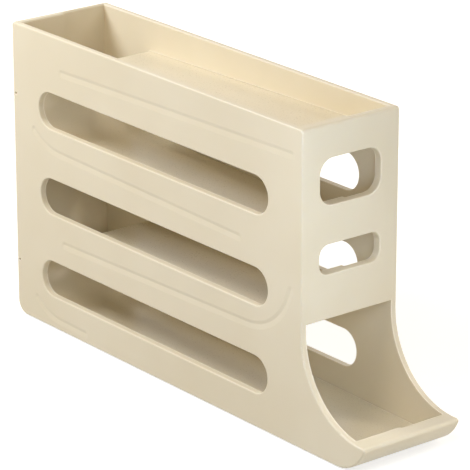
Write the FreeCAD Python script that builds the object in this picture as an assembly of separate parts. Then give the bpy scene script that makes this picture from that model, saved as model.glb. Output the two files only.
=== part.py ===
import FreeCAD
import Part
import math
import os

os.makedirs("parts", exist_ok=True)

# Rolling egg dispenser: two half shells that meet on the centre plane, around four zigzag ramps.
# Working frame: X runs forward from the back face, Y from the centre plane, Z up from the underside of the base.
# Sizes are in millimetres and degrees. The finished pieces are moved so that the origin is under the middle.

# Casing
body_length = 296.5
casing_width = 76.0
side_wall = 4.2
front_wall = 5.5
rear_wall = 4.0
base_wall = 3.2
seam_lap = 2.2  # the left half's front, rear and lip walls are thicker by this, which makes a step at the seam
rear_corner_radius = 9.0
rear_inner_radius = 5.0
edge_round = 1.2
corner_extra = 0.8
inner_round = 0.8
rim_flare = 0.8

# Ramps: the pitches run between the mid-planes, halfway along the body
ramp_thickness = 2.6
ramp_slope = 1.3
lane_pitch = 57.5
upper_lane_pitch = 60.0
rim_above_top_ramp = 20.3
rear_drop = 47.0
front_drop = 50.5
scoop_radius = 43.5
scoop_angle = 75.0
ramp_end_gap = 0.6

# Mouth and catch lip
mouth_above_third_ramp = 14.4
mouth_curve_drop = 4.8
lip_height = 19.2
nose_radius = 28.0
nose_forward = 33.1
lip_round = 1.8
lip_skin = 2.8
cup_inset = 4.0
cup_behind_nose = 8.7

# Long windows in each side wall, one for each closed lane
window_rear_margin = 28.8
window_front_margin = 31.8
window_height = 24.6
window_below_lane_middle = 1.1
window_round = 0.8

# Windows in the front wall, shared by the two halves
front_window_width = 47.5
upper_window_below_ramp = 4.6
upper_window_height = 29.5
upper_window_radius = 10.0
lower_window_below_ramp = 1.6
lower_window_height = 19.0
lower_window_radius = 7.0

# Bottom ramp: a wedge on the base with a scoop at its rear end
bottom_ramp_rise = 3.9
bottom_ramp_tip = 1.4
bottom_slot_length = 26.0
bottom_rib_width = 2.4
bottom_rib_spacing = 22.0
bottom_rib_count = 3
rib_root = 0.3

# Slots that hold the edges of the ramps, and the sink lines that they leave on the outside
slot_depth = 1.8
slot_gap = 0.2
side_gap = 0.3
sink_width = 5.6
sink_floor = 0.4
sink_depth = 0.4
sink_drop = 0.7  # a sink line is deepest over its ramp, and the middle of its width lies this far below that
rear_sink_angle = 39.0

# Pegs on the right half, in sockets of the left half: the rear sockets are open to the outside
peg_diameter = 1.7
peg_length = 8.0
peg_root = 1.0
peg_gap = 0.15
peg_from_edge_round = 1.8
front_socket_depth = 10.0
rear_peg_above_lane_middle = 2.1

# Foot pads
pad_diameter = 12.0
pad_recess = 1.0
pad_standout = 0.6
pad_gap = 0.15
pad_edge = 0.3
pad_from_side = 12.0
pad_from_rear = 28.0
pad_behind_nose = 28.8

# Sizes that follow from the ones above
half_width = casing_width / 2.0
lane_half = half_width - side_wall
bottom_ramp_height = base_wall + bottom_ramp_rise
third_ramp_height = bottom_ramp_height + lane_pitch
second_ramp_height = third_ramp_height + lane_pitch
top_ramp_height = second_ramp_height + upper_lane_pitch
casing_height = top_ramp_height + rim_above_top_ramp
corner_round = edge_round + corner_extra
half_ramp = ramp_thickness / 2.0
body_middle = body_length / 2.0
rear_inner = rear_wall + seam_lap
front_inner = body_length - front_wall - seam_lap
slope_rise = math.tan(math.radians(ramp_slope))
scoop_reach = (scoop_radius + half_ramp) * math.sin(math.radians(scoop_angle))
rear_bend = rear_inner + ramp_end_gap + scoop_reach
front_bend = front_inner - ramp_end_gap - scoop_reach
rear_free = rear_inner + rear_drop + half_ramp
front_free = front_inner - front_drop - half_ramp
mouth_top = third_ramp_height + mouth_above_third_ramp
mouth_radius = mouth_top - mouth_curve_drop - lip_height
mouth_centre = (body_length + mouth_radius, lip_height + mouth_radius)
nose_centre = (body_length + nose_forward, nose_radius)
cup_x = nose_centre[0] - cup_behind_nose
cup_radius = nose_radius - cup_inset
peg_inset = edge_round + peg_from_edge_round
pad_places = {"rear": pad_from_rear, "front": nose_centre[0] - pad_behind_nose}

# Reach of a cutting shape past the face that it cuts, and the tolerance for picking edges on a plane
over = 5.0
near = 0.01


def at(x, z, y=0.0):
    return FreeCAD.Vector(x, y, z)


def on_circle(centre, radius, angle):
    turn = math.radians(angle)
    return at(centre[0] + radius * math.cos(turn), centre[1] + radius * math.sin(turn))


def arc(centre, radius, angle_from, angle_to):
    # Middle and end of an arc that starts where the outline has got to
    middle = on_circle(centre, radius, (angle_from + angle_to) / 2.0)
    return (middle, on_circle(centre, radius, angle_to))


def outline(start, steps):
    # Closed outline in XZ: a step is a point for a straight run, or a pair of points for an arc
    edges = []
    here = start
    for step in steps:
        if isinstance(step, tuple):
            middle, there = step
            edges.append(Part.Arc(here, middle, there).toShape())
        else:
            there = step
            edges.append(Part.LineSegment(here, there).toShape())
        here = there
    if here.distanceToPoint(start) > near:
        edges.append(Part.LineSegment(here, start).toShape())
    return Part.Wire(edges)


def prism(wire, y_from, y_to):
    # Solid with an XZ outline, between two distances from the centre plane
    face = Part.Face(wire)
    face.translate(FreeCAD.Vector(0, y_from, 0))
    return face.extrude(FreeCAD.Vector(0, y_to - y_from, 0))


def across(radius, x, z, y_from, y_to):
    # Round bar along Y
    return Part.makeCylinder(radius, y_to - y_from, at(x, z, y_from), FreeCAD.Vector(0, 1, 0))


def bearing(centre, target):
    return math.degrees(math.atan2(target[1] - centre[1], target[0] - centre[0]))


def circle_meeting(first, first_radius, second, second_radius):
    # Of the two points where the circles meet, the one further forward
    dx = second[0] - first[0]
    dz = second[1] - first[1]
    apart = math.hypot(dx, dz)
    along = (first_radius ** 2 - second_radius ** 2 + apart ** 2) / (2.0 * apart)
    aside = math.sqrt(first_radius ** 2 - along ** 2)
    middle = (first[0] + along * dx / apart, first[1] + along * dz / apart)
    options = []
    for side in (-1, 1):
        options.append((middle[0] - side * aside * dz / apart, middle[1] + side * aside * dx / apart))
    return max(options)


def edges_between(shape, low, high):
    # Edges whose ends all lie inside a box
    box = FreeCAD.BoundBox(*low, *high)
    return [edge for edge in shape.Edges if all(box.isInside(v.Point) for v in edge.Vertexes)]


# The rounded tip of the lip touches the mouth curve and the nose curve
tip_centre = circle_meeting(mouth_centre, mouth_radius + lip_round, nose_centre, nose_radius - lip_round)
overall_length = tip_centre[0] + lip_round


class Ramp:
    # Mid-line of a ramp: a straight run from its free end to the bend, then an arc up into a scoop

    def __init__(self, free, bend, turn):
        self.free = free
        self.bend = bend
        self.turn = turn
        self.along = (self.bend - self.free).normalize()
        facing = math.copysign(1.0, self.along.x)
        self.up = at(-facing * self.along.z, facing * self.along.x)

    def on_arc(self, radius, angle):
        turn = math.radians(angle)
        centre = self.bend + self.up * scoop_radius
        return centre - self.up * (radius * math.cos(turn)) + self.along * (radius * math.sin(turn))

    def outline(self, half):
        # Outline with round ends, at a distance from the mid-line
        low = scoop_radius + half
        high = scoop_radius - half
        turn = math.radians(self.turn)
        heading = self.along * math.cos(turn) + self.up * math.sin(turn)
        steps = [self.bend - self.up * half]
        if self.turn:
            steps.append((self.on_arc(low, self.turn / 2.0), self.on_arc(low, self.turn)))
        steps.append((self.on_arc(scoop_radius, self.turn) + heading * half, self.on_arc(high, self.turn)))
        if self.turn:
            steps.append((self.on_arc(high, self.turn / 2.0), self.bend + self.up * half))
        steps.append(self.free + self.up * half)
        steps.append((self.free - self.along * half, self.free - self.up * half))
        return outline(self.free - self.up * half, steps)

    def plate(self, half, y_from, y_to):
        return prism(self.outline(half), y_from, y_to)

    def sink_line(self, turn):
        # Shallow groove with sloping sides on the outer face of the side wall, cut short at a given turn
        line = Ramp(self.free, self.bend, turn)
        outside = line.outline(sink_width - sink_floor / 2.0)
        inside = line.outline(sink_floor / 2.0)
        outside.translate(FreeCAD.Vector(0, -half_width - sink_depth, -2.0 * sink_drop))
        inside.translate(FreeCAD.Vector(0, -half_width + sink_depth, 0))
        return Part.makeLoft([outside, inside], True, True)


def level(height, x, downhill):
    # Height of a sloping ramp at a distance from the back face
    return height - downhill * (x - body_middle) * slope_rise


def ramp_between(height, downhill, free_x, bend_x, turn):
    free = at(free_x, level(height, free_x, downhill))
    return Ramp(free, at(bend_x, level(height, bend_x, downhill)), turn)


# Heights halfway up the three closed lanes, from the bottom
ramp_heights = (bottom_ramp_height, third_ramp_height, second_ramp_height, top_ramp_height)
lane_middles = [(low + high) / 2.0 for low, high in zip(ramp_heights, ramp_heights[1:])]

# Sills of the front windows
upper_sill = level(top_ramp_height, body_length, -1) - upper_window_below_ramp - upper_window_height
lower_sill = level(second_ramp_height, body_length, 1) - lower_window_below_ramp - lower_window_height / 2.0

# The rear pegs stand in the bottom and the upper lane, and the front ones in the webs under the front windows
rear_peg_heights = [lane_middles[lane] + rear_peg_above_lane_middle for lane in (0, 2)]
front_peg_heights = [(mouth_top + lower_sill) / 2.0, (lower_sill + lower_window_height + upper_sill) / 2.0]

# Downhill is 1 for a ramp that falls towards the front and -1 for one that falls towards the back
top_ramp = ramp_between(top_ramp_height, -1, rear_free, front_inner - ramp_end_gap - half_ramp, 0)
second_ramp = ramp_between(second_ramp_height, 1, front_free, rear_bend, scoop_angle)
third_ramp = ramp_between(third_ramp_height, -1, rear_free, front_bend, scoop_angle)
bottom_tip_height = base_wall + bottom_ramp_tip - half_ramp
bottom_fall = (bottom_ramp_height - bottom_tip_height) / (cup_x - half_ramp - rear_bend)
bottom_held_height = bottom_ramp_height - bottom_fall * bottom_slot_length
bottom_bend = at(rear_bend, bottom_ramp_height)
bottom_ramp = Ramp(at(cup_x - half_ramp, bottom_tip_height), bottom_bend, scoop_angle)
bottom_held = Ramp(at(rear_bend + bottom_slot_length, bottom_held_height), bottom_bend, scoop_angle)

# Ramps that sit in slots, with the turn at which their sink lines fade out
seated_ramps = [
    (top_ramp, 0),
    (second_ramp, rear_sink_angle),
    (third_ramp, scoop_angle),
    (bottom_held, rear_sink_angle),
]


def side_block():
    # Everything inside the side outline, from the outer face to the centre plane, with a rounded outer edge
    mouth_bearing = bearing(mouth_centre, tip_centre)
    nose_bearing = bearing(nose_centre, tip_centre)
    rim = casing_height - corner_round
    steps = [
        arc((rear_corner_radius, rear_corner_radius), rear_corner_radius, 270, 180),
        at(0, rim),
        arc((corner_round, rim), corner_round, 180, 90),
        at(body_length - corner_round, casing_height),
        arc((body_length - corner_round, rim), corner_round, 90, 0),
        at(body_length, mouth_centre[1]),
        arc(mouth_centre, mouth_radius, 180, mouth_bearing + 360),
        arc(tip_centre, lip_round, mouth_bearing + 180, nose_bearing),
        arc(nose_centre, nose_radius, nose_bearing, -90),
    ]
    block = prism(outline(at(rear_corner_radius, 0), steps), -half_width, 0)
    low = (-over, -half_width - near, -over)
    high = (overall_length + over, -half_width + near, casing_height + over)
    return block.makeFillet(edge_round, edges_between(block, low, high))


def cavity(lap):
    # Lanes, mouth and cup between the side wall and the centre plane, open at the top
    rear = rear_wall + lap
    front = body_length - front_wall - lap
    cup = cup_radius + seam_lap - lap
    brow = mouth_top + inner_round
    rim = casing_height + over
    steps = [
        at(rear, base_wall + rear_inner_radius),
        arc((rear + rear_inner_radius, base_wall + rear_inner_radius), rear_inner_radius, 180, 270),
        at(cup_x, base_wall),
        arc((cup_x, base_wall + cup), cup, -90, 0),
        at(cup_x + cup, brow),
        at(body_length, brow),
        arc((body_length - inner_round, brow), inner_round, 0, -90),
        at(front + inner_round, mouth_top),
        arc((front + inner_round, brow), inner_round, 270, 180),
        at(front, rim),
    ]
    return prism(outline(at(rear, rim), steps), -lane_half, over)


def rim_chamfer(lap):
    # Sloping cut around the inner edge of the open top
    rear = rear_wall + lap
    front = body_length - front_wall - lap
    loops = []
    for grow in (0.0, 2.0 * rim_flare):
        z = casing_height - rim_flare + grow
        corners = [(rear - grow, -lane_half - grow), (front + grow, -lane_half - grow)]
        corners += [(front + grow, over), (rear - grow, over), (rear - grow, -lane_half - grow)]
        loops.append(Part.makePolygon([at(x, z, y) for x, y in corners]))
    return Part.makeLoft(loops, True, True)


def lip_hollow(lap):
    # Hollow inside the lip, open only towards the other half
    cup = cup_radius + seam_lap - lap
    hollow = across(nose_radius - lip_skin, *nose_centre, -lane_half, over)
    hollow = hollow.cut(across(cup + lip_skin, cup_x, base_wall + cup, -lane_half, over))
    return hollow.cut(across(mouth_radius + lip_skin, *mouth_centre, -lane_half, over))


def side_window(lane_middle):
    # Long window with half-round ends
    radius = window_height / 2.0
    middle = lane_middle - window_below_lane_middle
    rear = (window_rear_margin + radius, middle)
    front = (body_length - window_front_margin - radius, middle)
    steps = [
        at(front[0], middle - radius),
        arc(front, radius, -90, 90),
        at(rear[0], middle + radius),
        arc(rear, radius, 90, 270),
    ]
    return prism(outline(at(rear[0], middle - radius), steps), -half_width - over, -lane_half + over)


# Sill, height and corner radius of each front window
front_windows = [
    (upper_sill, upper_window_height, upper_window_radius),
    (lower_sill, lower_window_height, lower_window_radius),
]


def front_window(sill, height, radius):
    # Rounded window through the front wall
    through = body_length - front_inner + 2.0 * over
    corner = FreeCAD.Vector(front_inner - over, -front_window_width / 2.0, sill)
    blank = Part.makeBox(through, front_window_width, height, corner)
    return blank.makeFillet(radius, [edge for edge in blank.Edges if edge.BoundBox.XLength > through - near])


def soften_windows(shell):
    # Round the outer edges of the side windows and the front windows
    low = (window_rear_margin - near, -half_width - near, lane_middles[0] - window_height)
    high = (body_length - window_front_margin + near, -half_width + near, lane_middles[-1] + window_height)
    edges = edges_between(shell, low, high)
    for sill, height, _ in front_windows:
        low = (body_length - near, -front_window_width / 2.0 - near, sill - near)
        high = (body_length + near, near, sill + height + near)
        edges += edges_between(shell, low, high)
    return shell.makeFillet(window_round, edges)


def pad_disc(radius, x, y, z_from, z_to):
    return Part.makeCylinder(radius, z_to - z_from, at(x, z_from, y))


def half_shell(lap):
    # The half on the -Y side: side wall, half of the front, rear and base walls, and half of the lip
    cutters = [cavity(lap), rim_chamfer(lap), lip_hollow(lap)]
    cutters += [side_window(middle) for middle in lane_middles]
    cutters += [front_window(*window) for window in front_windows]
    shell = soften_windows(side_block().cut(cutters))
    details = []
    for ramp, sink_turn in seated_ramps:
        details.append(ramp.plate(half_ramp + slot_gap, -lane_half - slot_depth, -lane_half + side_gap))
        details.append(ramp.sink_line(sink_turn))
    for x in pad_places.values():
        details.append(pad_disc(pad_diameter / 2.0 + pad_gap, x, pad_from_side - half_width, -over, pad_recess))
    return shell.cut(details)


def left_shell():
    socket = peg_diameter / 2.0 + peg_gap
    sockets = [across(socket, peg_inset, z, -half_width - over, over) for z in rear_peg_heights]
    front_x = body_length - peg_inset
    sockets += [across(socket, front_x, z, -front_socket_depth, over) for z in front_peg_heights]
    return half_shell(seam_lap).cut(sockets)


def right_shell():
    # Built as a left half with no lap, then turned over
    peg = peg_diameter / 2.0
    pegs = [across(peg, peg_inset, z, -peg_root, peg_length) for z in rear_peg_heights]
    pegs += [across(peg, body_length - peg_inset, z, -peg_root, peg_length) for z in front_peg_heights]
    return half_shell(0.0).fuse(pegs).removeSplitter().mirror(at(0, 0), FreeCAD.Vector(0, 1, 0))


def slotted_plate(ramp):
    # Ramp whose edges reach into the slots of both side walls
    reach = lane_half + slot_depth - slot_gap
    return ramp.plate(half_ramp, -reach, reach)


def bottom_plate():
    # Wedge on the base: slotted at the scoop, plain further forward, with ribs under its raised part
    reach = lane_half - side_gap
    plate = bottom_ramp.plate(half_ramp, -reach, reach).fuse(slotted_plate(bottom_held))
    under = bottom_ramp_height - half_ramp - base_wall
    rib_end = rear_bend + under / bottom_fall
    ribs = []
    for index in range(bottom_rib_count):
        middle = (index - (bottom_rib_count - 1) / 2.0) * bottom_rib_spacing
        steps = [
            at(rib_end, base_wall),
            at(rib_end, base_wall + rib_root),
            at(rear_bend, base_wall + under + rib_root),
        ]
        side = bottom_rib_width / 2.0
        ribs.append(prism(outline(at(rear_bend, base_wall), steps), middle - side, middle + side))
    below = Part.makeBox(overall_length, casing_width, base_wall + over, at(0, -over, -half_width))
    return plate.fuse(ribs).cut(below).removeSplitter()


def foot_pad(x, y):
    # Flat disc, softened at the edge it stands on
    pad = pad_disc(pad_diameter / 2.0, x, y, -pad_standout, pad_recess)
    low = (x - pad_diameter, y - pad_diameter, -pad_standout - near)
    high = (x + pad_diameter, y + pad_diameter, -pad_standout + near)
    return pad.makeFillet(pad_edge, edges_between(pad, low, high))


pieces = {
    "left_shell": left_shell(),
    "right_shell": right_shell(),
    "top_ramp": slotted_plate(top_ramp),
    "second_ramp": slotted_plate(second_ramp),
    "third_ramp": slotted_plate(third_ramp),
    "bottom_ramp": bottom_plate(),
}
for hand, side in (("left", -1), ("right", 1)):
    for end, x in pad_places.items():
        pieces[f"{end}_{hand}_foot_pad"] = foot_pad(x, side * (half_width - pad_from_side))

for name, shape in pieces.items():
    shape.translate(at(-overall_length / 2.0, pad_standout))
    shape.exportStep(f"parts/{name}.step")
    print(name, "solids", len(shape.Solids), "valid", shape.isValid(), "volume", round(shape.Volume))
print("overall", round(overall_length, 2), casing_width, round(casing_height + pad_standout, 2))
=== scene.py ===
import bpy
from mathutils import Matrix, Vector

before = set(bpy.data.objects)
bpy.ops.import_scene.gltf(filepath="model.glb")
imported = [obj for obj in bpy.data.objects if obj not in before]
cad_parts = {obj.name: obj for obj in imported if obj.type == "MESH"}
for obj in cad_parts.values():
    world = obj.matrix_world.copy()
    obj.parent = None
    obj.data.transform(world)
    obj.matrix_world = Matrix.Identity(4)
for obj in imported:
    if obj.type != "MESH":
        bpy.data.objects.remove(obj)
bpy.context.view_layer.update()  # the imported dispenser, in metres: +X to the catch lip, +Z up
print("frame loaded:", len(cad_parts), "pieces")


def mm(size):  # millimetres to metres
    return size / 1000


def linear(hexColour):  # sRGB hex to linear RGBA
    shares = [int(hexColour[at:at + 2], 16) / 255 for at in (1, 3, 5)]
    return tuple(s / 12.92 if s <= 0.04045 else ((s + 0.055) / 1.055) ** 2.4 for s in shares) + (1,)


def addNode(tree, kind, settings=(), links=()):  # settings are sockets or properties, links are sockets
    node = tree.nodes.new(kind)
    for name, value in dict(settings).items():
        if isinstance(name, int) or name in node.inputs:
            node.inputs[name].default_value = value
        else:
            setattr(node, name, value)
    for name, socket in dict(links).items():
        tree.links.new(socket, node.inputs[name])
    return node


def newMaterial(name):
    material = bpy.data.materials.new(name)
    material.use_nodes = True
    material.node_tree.nodes.clear()
    return material, material.node_tree


# Casing: polypropylene, injection moulded in a fine-blasted tool.
# To the eye: warm cream with a satin sheen, faint clouds where the melt flowed, and a painted highlight:
# paler colour along the outer edges.
shellFinish = {
    "name": "casingPolypropyleneMoulded",
    "cream": "#ebe1c8",
    "flowTone": "#e7dcc1",
    # painted highlight: a paler colour laid over the cream on outer edges, standing in for light caught by
    # the rounds
    "paintedEdgeHighlight": "#fff6e2",
    "edgeReach": 1.3,  # mm in from an edge, for the painted edge highlight
    "edgeShow": (0.86, 0.64),  # openness under the skin where the painted edge highlight starts and where it is full
    "seamClear": (0.5, 2.0),  # mm from the centre plane, where the painted edge highlight comes back beside the seam
    "cloudSize": 70,  # mm, drifts of tone over the walls
    "cloudShow": (0.35, 0.65),  # noise values over which the cream turns to the flow tone
    "grainSize": 0.9,  # mm, blasted grain, drawn coarser than the real 0.2 so that it shows
    "grainShow": (0.3, 0.7),  # noise values over which the roughness runs through its range
    "grainDepth": 0.010,  # mm
    "waveSize": 22,  # mm, slow moulding waves in the flat walls
    "waveDepth": 0.035,  # mm
    "roughness": (0.34, 0.46),
    "ior": 1.49,
    "glow": 0.10,  # light that soaks into the wall
    "glowDepth": 3,  # mm
    "glowShares": (1.0, 0.75, 0.4),  # of that depth, for red, green and blue
}

# Ramps: the same polypropylene from a polished tool, so that the load rolls easily.
# To the eye: a little glossier than the casing and without its grain.
rampFinish = {
    **shellFinish,
    "name": "rampPolypropylenePolished",
    "grainDepth": 0.003,
    "roughness": (0.26, 0.36),
}


def paintedHighlightMask(tree, finish, place):  # 1 where the painted highlight lies on outer edges, 0 on the flats and along the seam
    under = addNode(
        tree, "ShaderNodeAmbientOcclusion",
        {"Distance": mm(finish["edgeReach"]), "inside": True, "only_local": True, "samples": 8},
    )
    start, full = finish["edgeShow"]
    edge = addNode(
        tree, "ShaderNodeMapRange",
        {"From Min": start, "From Max": full},
        {"Value": under.outputs["AO"]},
    )
    across = addNode(tree, "ShaderNodeSeparateXYZ", (), {"Vector": place}).outputs["Y"]
    fromSeam = addNode(tree, "ShaderNodeMath", {"operation": "ABSOLUTE"}, {0: across})
    near, far = finish["seamClear"]
    clear = addNode(
        tree, "ShaderNodeMapRange",
        {"From Min": mm(near), "From Max": mm(far)},
        {"Value": fromSeam.outputs["Value"]},
    )
    return addNode(
        tree, "ShaderNodeMath", {"operation": "MULTIPLY"},
        {0: edge.outputs["Result"], 1: clear.outputs["Result"]},
    ).outputs["Value"]


def plastic(finish):
    material, tree = newMaterial(finish["name"])
    place = addNode(tree, "ShaderNodeTexCoord").outputs["Object"]
    cloud = addNode(
        tree, "ShaderNodeTexNoise",
        {"Scale": 1 / mm(finish["cloudSize"]), "Detail": 2},
        {"Vector": place},
    )
    grain = addNode(
        tree, "ShaderNodeTexNoise",
        {"Scale": 1 / mm(finish["grainSize"]), "Detail": 3},
        {"Vector": place},
    )
    wave = addNode(
        tree, "ShaderNodeTexNoise",
        {"Scale": 1 / mm(finish["waveSize"]), "Detail": 1},
        {"Vector": place},
    )
    least, most = finish["cloudShow"]
    tone = addNode(
        tree, "ShaderNodeMapRange",
        {"From Min": least, "From Max": most},
        {"Value": cloud.outputs["Fac"]},
    )
    body = addNode(
        tree, "ShaderNodeMixRGB",
        {"Color1": linear(finish["cream"]), "Color2": linear(finish["flowTone"])},
        {"Fac": tone.outputs["Result"]},
    )
    # painted highlight: the edge highlight colour is mixed over the body colour along the outer edges
    colour = addNode(
        tree, "ShaderNodeMixRGB", {"Color2": linear(finish["paintedEdgeHighlight"])},
        {"Fac": paintedHighlightMask(tree, finish, place), "Color1": body.outputs["Color"]},
    )
    least, most = finish["grainShow"]
    low, high = finish["roughness"]
    rough = addNode(
        tree, "ShaderNodeMapRange",
        {"From Min": least, "From Max": most, "To Min": low, "To Max": high},
        {"Value": grain.outputs["Fac"]},
    )
    waves = addNode(
        tree, "ShaderNodeBump", {"Distance": mm(finish["waveDepth"])}, {"Height": wave.outputs["Fac"]},
    )
    skin = addNode(
        tree, "ShaderNodeBump", {"Distance": mm(finish["grainDepth"])},
        {"Height": grain.outputs["Fac"], "Normal": waves.outputs["Normal"]},
    )
    shader = addNode(
        tree, "ShaderNodeBsdfPrincipled",
        {
            "IOR": finish["ior"],
            "Subsurface Weight": finish["glow"],
            "Subsurface Radius": finish["glowShares"],
            "Subsurface Scale": mm(finish["glowDepth"]),
        },
        {
            "Base Color": colour.outputs["Color"],
            "Roughness": rough.outputs["Result"],
            "Normal": skin.outputs["Normal"],
        },
    )
    addNode(tree, "ShaderNodeOutputMaterial", (), {"Surface": shader.outputs["BSDF"]})
    return material


# Foot pads: silicone rubber, die cut from sheet.
# To the eye: matt, pale grey, faintly dusty.
padFinish = {
    "name": "footSiliconeRubberDieCut",
    "body": "#c9c5bb",
    "dust": "#d8d4cb",
    "speckSize": 1.2,  # mm
    "speckDepth": 0.02,  # mm
    "roughness": 0.8,
    "ior": 1.41,
}


def rubber(finish):
    material, tree = newMaterial(finish["name"])
    place = addNode(tree, "ShaderNodeTexCoord").outputs["Object"]
    speck = addNode(
        tree, "ShaderNodeTexNoise",
        {"Scale": 1 / mm(finish["speckSize"]), "Detail": 4},
        {"Vector": place},
    )
    colour = addNode(
        tree, "ShaderNodeMixRGB",
        {"Color1": linear(finish["body"]), "Color2": linear(finish["dust"])},
        {"Fac": speck.outputs["Fac"]},
    )
    skin = addNode(
        tree, "ShaderNodeBump", {"Distance": mm(finish["speckDepth"])}, {"Height": speck.outputs["Fac"]},
    )
    shader = addNode(
        tree, "ShaderNodeBsdfPrincipled", {"Roughness": finish["roughness"], "IOR": finish["ior"]},
        {"Base Color": colour.outputs["Color"], "Normal": skin.outputs["Normal"]},
    )
    addNode(tree, "ShaderNodeOutputMaterial", (), {"Surface": shader.outputs["BSDF"]})
    return material


def dress(nodeName, material):
    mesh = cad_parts[nodeName].data
    mesh.materials.clear()
    mesh.materials.append(material)


casing = plastic(shellFinish)
ramps = plastic(rampFinish)
feet = rubber(padFinish)
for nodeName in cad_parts:
    if nodeName.endswith("shell"):
        dress(nodeName, casing)
    elif nodeName.endswith("ramp"):
        dress(nodeName, ramps)
    else:
        dress(nodeName, feet)
print("materials given to", len(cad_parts), "pieces")


# Pale floor that stays white to the camera and keeps the soft shadow
floorLook = {
    "size": 12.0,  # m
    "below": 0.2,  # mm under the pads, so that the two faces don't coincide
    "paint": "#c4c2bd",
    "lift": (0.72, 0.95),  # own light near the object and far off, for camera and mirror rays only
    "fade": (250, 800),  # mm from the middle, where the lift goes from one to the other
}


def seenDirectly(tree):  # 1 for camera, glossy and transmission rays
    path = addNode(tree, "ShaderNodeLightPath")
    both = addNode(
        tree, "ShaderNodeMath", {"operation": "MAXIMUM"},
        {0: path.outputs["Is Camera Ray"], 1: path.outputs["Is Glossy Ray"]},
    )
    return addNode(
        tree, "ShaderNodeMath", {"operation": "MAXIMUM"},
        {0: both.outputs["Value"], 1: path.outputs["Is Transmission Ray"]},
    ).outputs["Value"]


def layFloor(look):
    bpy.ops.object.select_all(action="DESELECT")
    bpy.ops.mesh.primitive_plane_add(size=look["size"], location=(0, 0, -mm(look["below"])))
    floor = bpy.context.object
    floor.name = "floor"
    material, tree = newMaterial("floorPaintMatt")
    place = addNode(tree, "ShaderNodeTexCoord").outputs["Object"]
    distance = addNode(tree, "ShaderNodeVectorMath", {"operation": "LENGTH"}, {0: place})
    near, far = look["fade"]
    low, high = look["lift"]
    rise = addNode(
        tree, "ShaderNodeMapRange",
        {"From Min": mm(near), "From Max": mm(far), "To Min": low, "To Max": high},
        {"Value": distance.outputs["Value"]},
    )
    lift = addNode(
        tree, "ShaderNodeMath", {"operation": "MULTIPLY"},
        {0: seenDirectly(tree), 1: rise.outputs["Result"]},
    )
    glow = addNode(tree, "ShaderNodeEmission", (), {"Strength": lift.outputs["Value"]})
    paint = addNode(tree, "ShaderNodeBsdfDiffuse", {"Color": linear(look["paint"])})
    both = addNode(tree, "ShaderNodeAddShader", (), {0: glow.outputs["Emission"], 1: paint.outputs["BSDF"]})
    addNode(tree, "ShaderNodeOutputMaterial", (), {"Surface": both.outputs["Shader"]})
    floor.data.materials.append(material)


layFloor(floorLook)

# Studio light: softboxes over the near rear corner, high at the near side and broad in front,
# small ones by the front edge and the lip, and fills from the far side, from behind and over the rim
room = {"colour": "#fff2e2", "strength": 0.24}
lamps = {
    "rearSoftbox": {"place": (-420, -420, 600), "size": 300, "power": 3.6, "colour": "#f6faff"},
    "upperSoftbox": {"place": (150, -600, 900), "size": 400, "power": 2.2, "colour": "#fff0e0"},
    "frontSoftbox": {"place": (1100, -100, 180), "size": 700, "power": 1.52, "colour": "#e8f5ff"},
    "edgeSoftbox": {"place": (280, -120, 190), "size": 100, "power": 0.235, "colour": "#d8e8ff"},
    "farSoftbox": {"place": (50, 950, 260), "size": 400, "power": 2.8, "colour": "#fff8ee"},
    "backSoftbox": {"place": (-950, 80, 260), "size": 400, "power": 2.4, "colour": "#fff8ee"},
    "rimSoftbox": {"place": (500, 550, 750), "size": 150, "power": 1.2, "colour": "#fff4e6"},
    "lipSoftbox": {"place": (330, 60, 30), "size": 80, "power": 0.07, "colour": "#fff8ee"},
}
lampTarget = Vector((0, 0, mm(100)))  # halfway up the casing


def lightRoom(look):
    world = bpy.data.worlds.new("studioRoom")
    bpy.context.scene.world = world
    world.use_nodes = True
    tree = world.node_tree
    tree.nodes.clear()
    walls = addNode(
        tree, "ShaderNodeBackground", {"Color": linear(look["colour"]), "Strength": look["strength"]},
    )
    white = addNode(tree, "ShaderNodeBackground", {"Color": (1, 1, 1, 1), "Strength": 1})
    mix = addNode(
        tree, "ShaderNodeMixShader", (),
        {0: seenDirectly(tree), 1: walls.outputs["Background"], 2: white.outputs["Background"]},
    )
    addNode(tree, "ShaderNodeOutputWorld", (), {"Surface": mix.outputs["Shader"]})


def hangLamp(name, lamp):
    data = bpy.data.lights.new(name, "AREA")
    data.shape = "DISK"
    data.size = mm(lamp["size"])
    data.energy = lamp["power"]
    data.color = linear(lamp["colour"])[:3]
    thing = bpy.data.objects.new(name, data)
    thing.location = [mm(v) for v in lamp["place"]]
    thing.rotation_euler = (lampTarget - thing.location).to_track_quat("-Z", "Y").to_euler()
    thing.visible_camera = False
    bpy.context.scene.collection.objects.link(thing)


lightRoom(room)
for name, lamp in lamps.items():
    hangLamp(name, lamp)
print("floor, room and", len(lamps), "lamps in place")

# Camera at the photograph's place: a long lens, high on the front left
cameraSetup = {"place": (1469.6, -1168.9, 772.9), "aim": (-11.6, 15.9, 89.3), "lens": 242.7, "sensor": 36}


def setCamera(setup):
    data = bpy.data.cameras.new("camera")
    data.lens = setup["lens"]
    data.sensor_width = setup["sensor"]
    thing = bpy.data.objects.new("camera", data)
    thing.location = [mm(v) for v in setup["place"]]
    aim = Vector([mm(v) for v in setup["aim"]])
    thing.rotation_euler = (aim - thing.location).to_track_quat("-Z", "Y").to_euler()
    bpy.context.scene.collection.objects.link(thing)
    bpy.context.scene.camera = thing


setCamera(cameraSetup)
bpy.context.scene.view_settings.view_transform = "Standard"
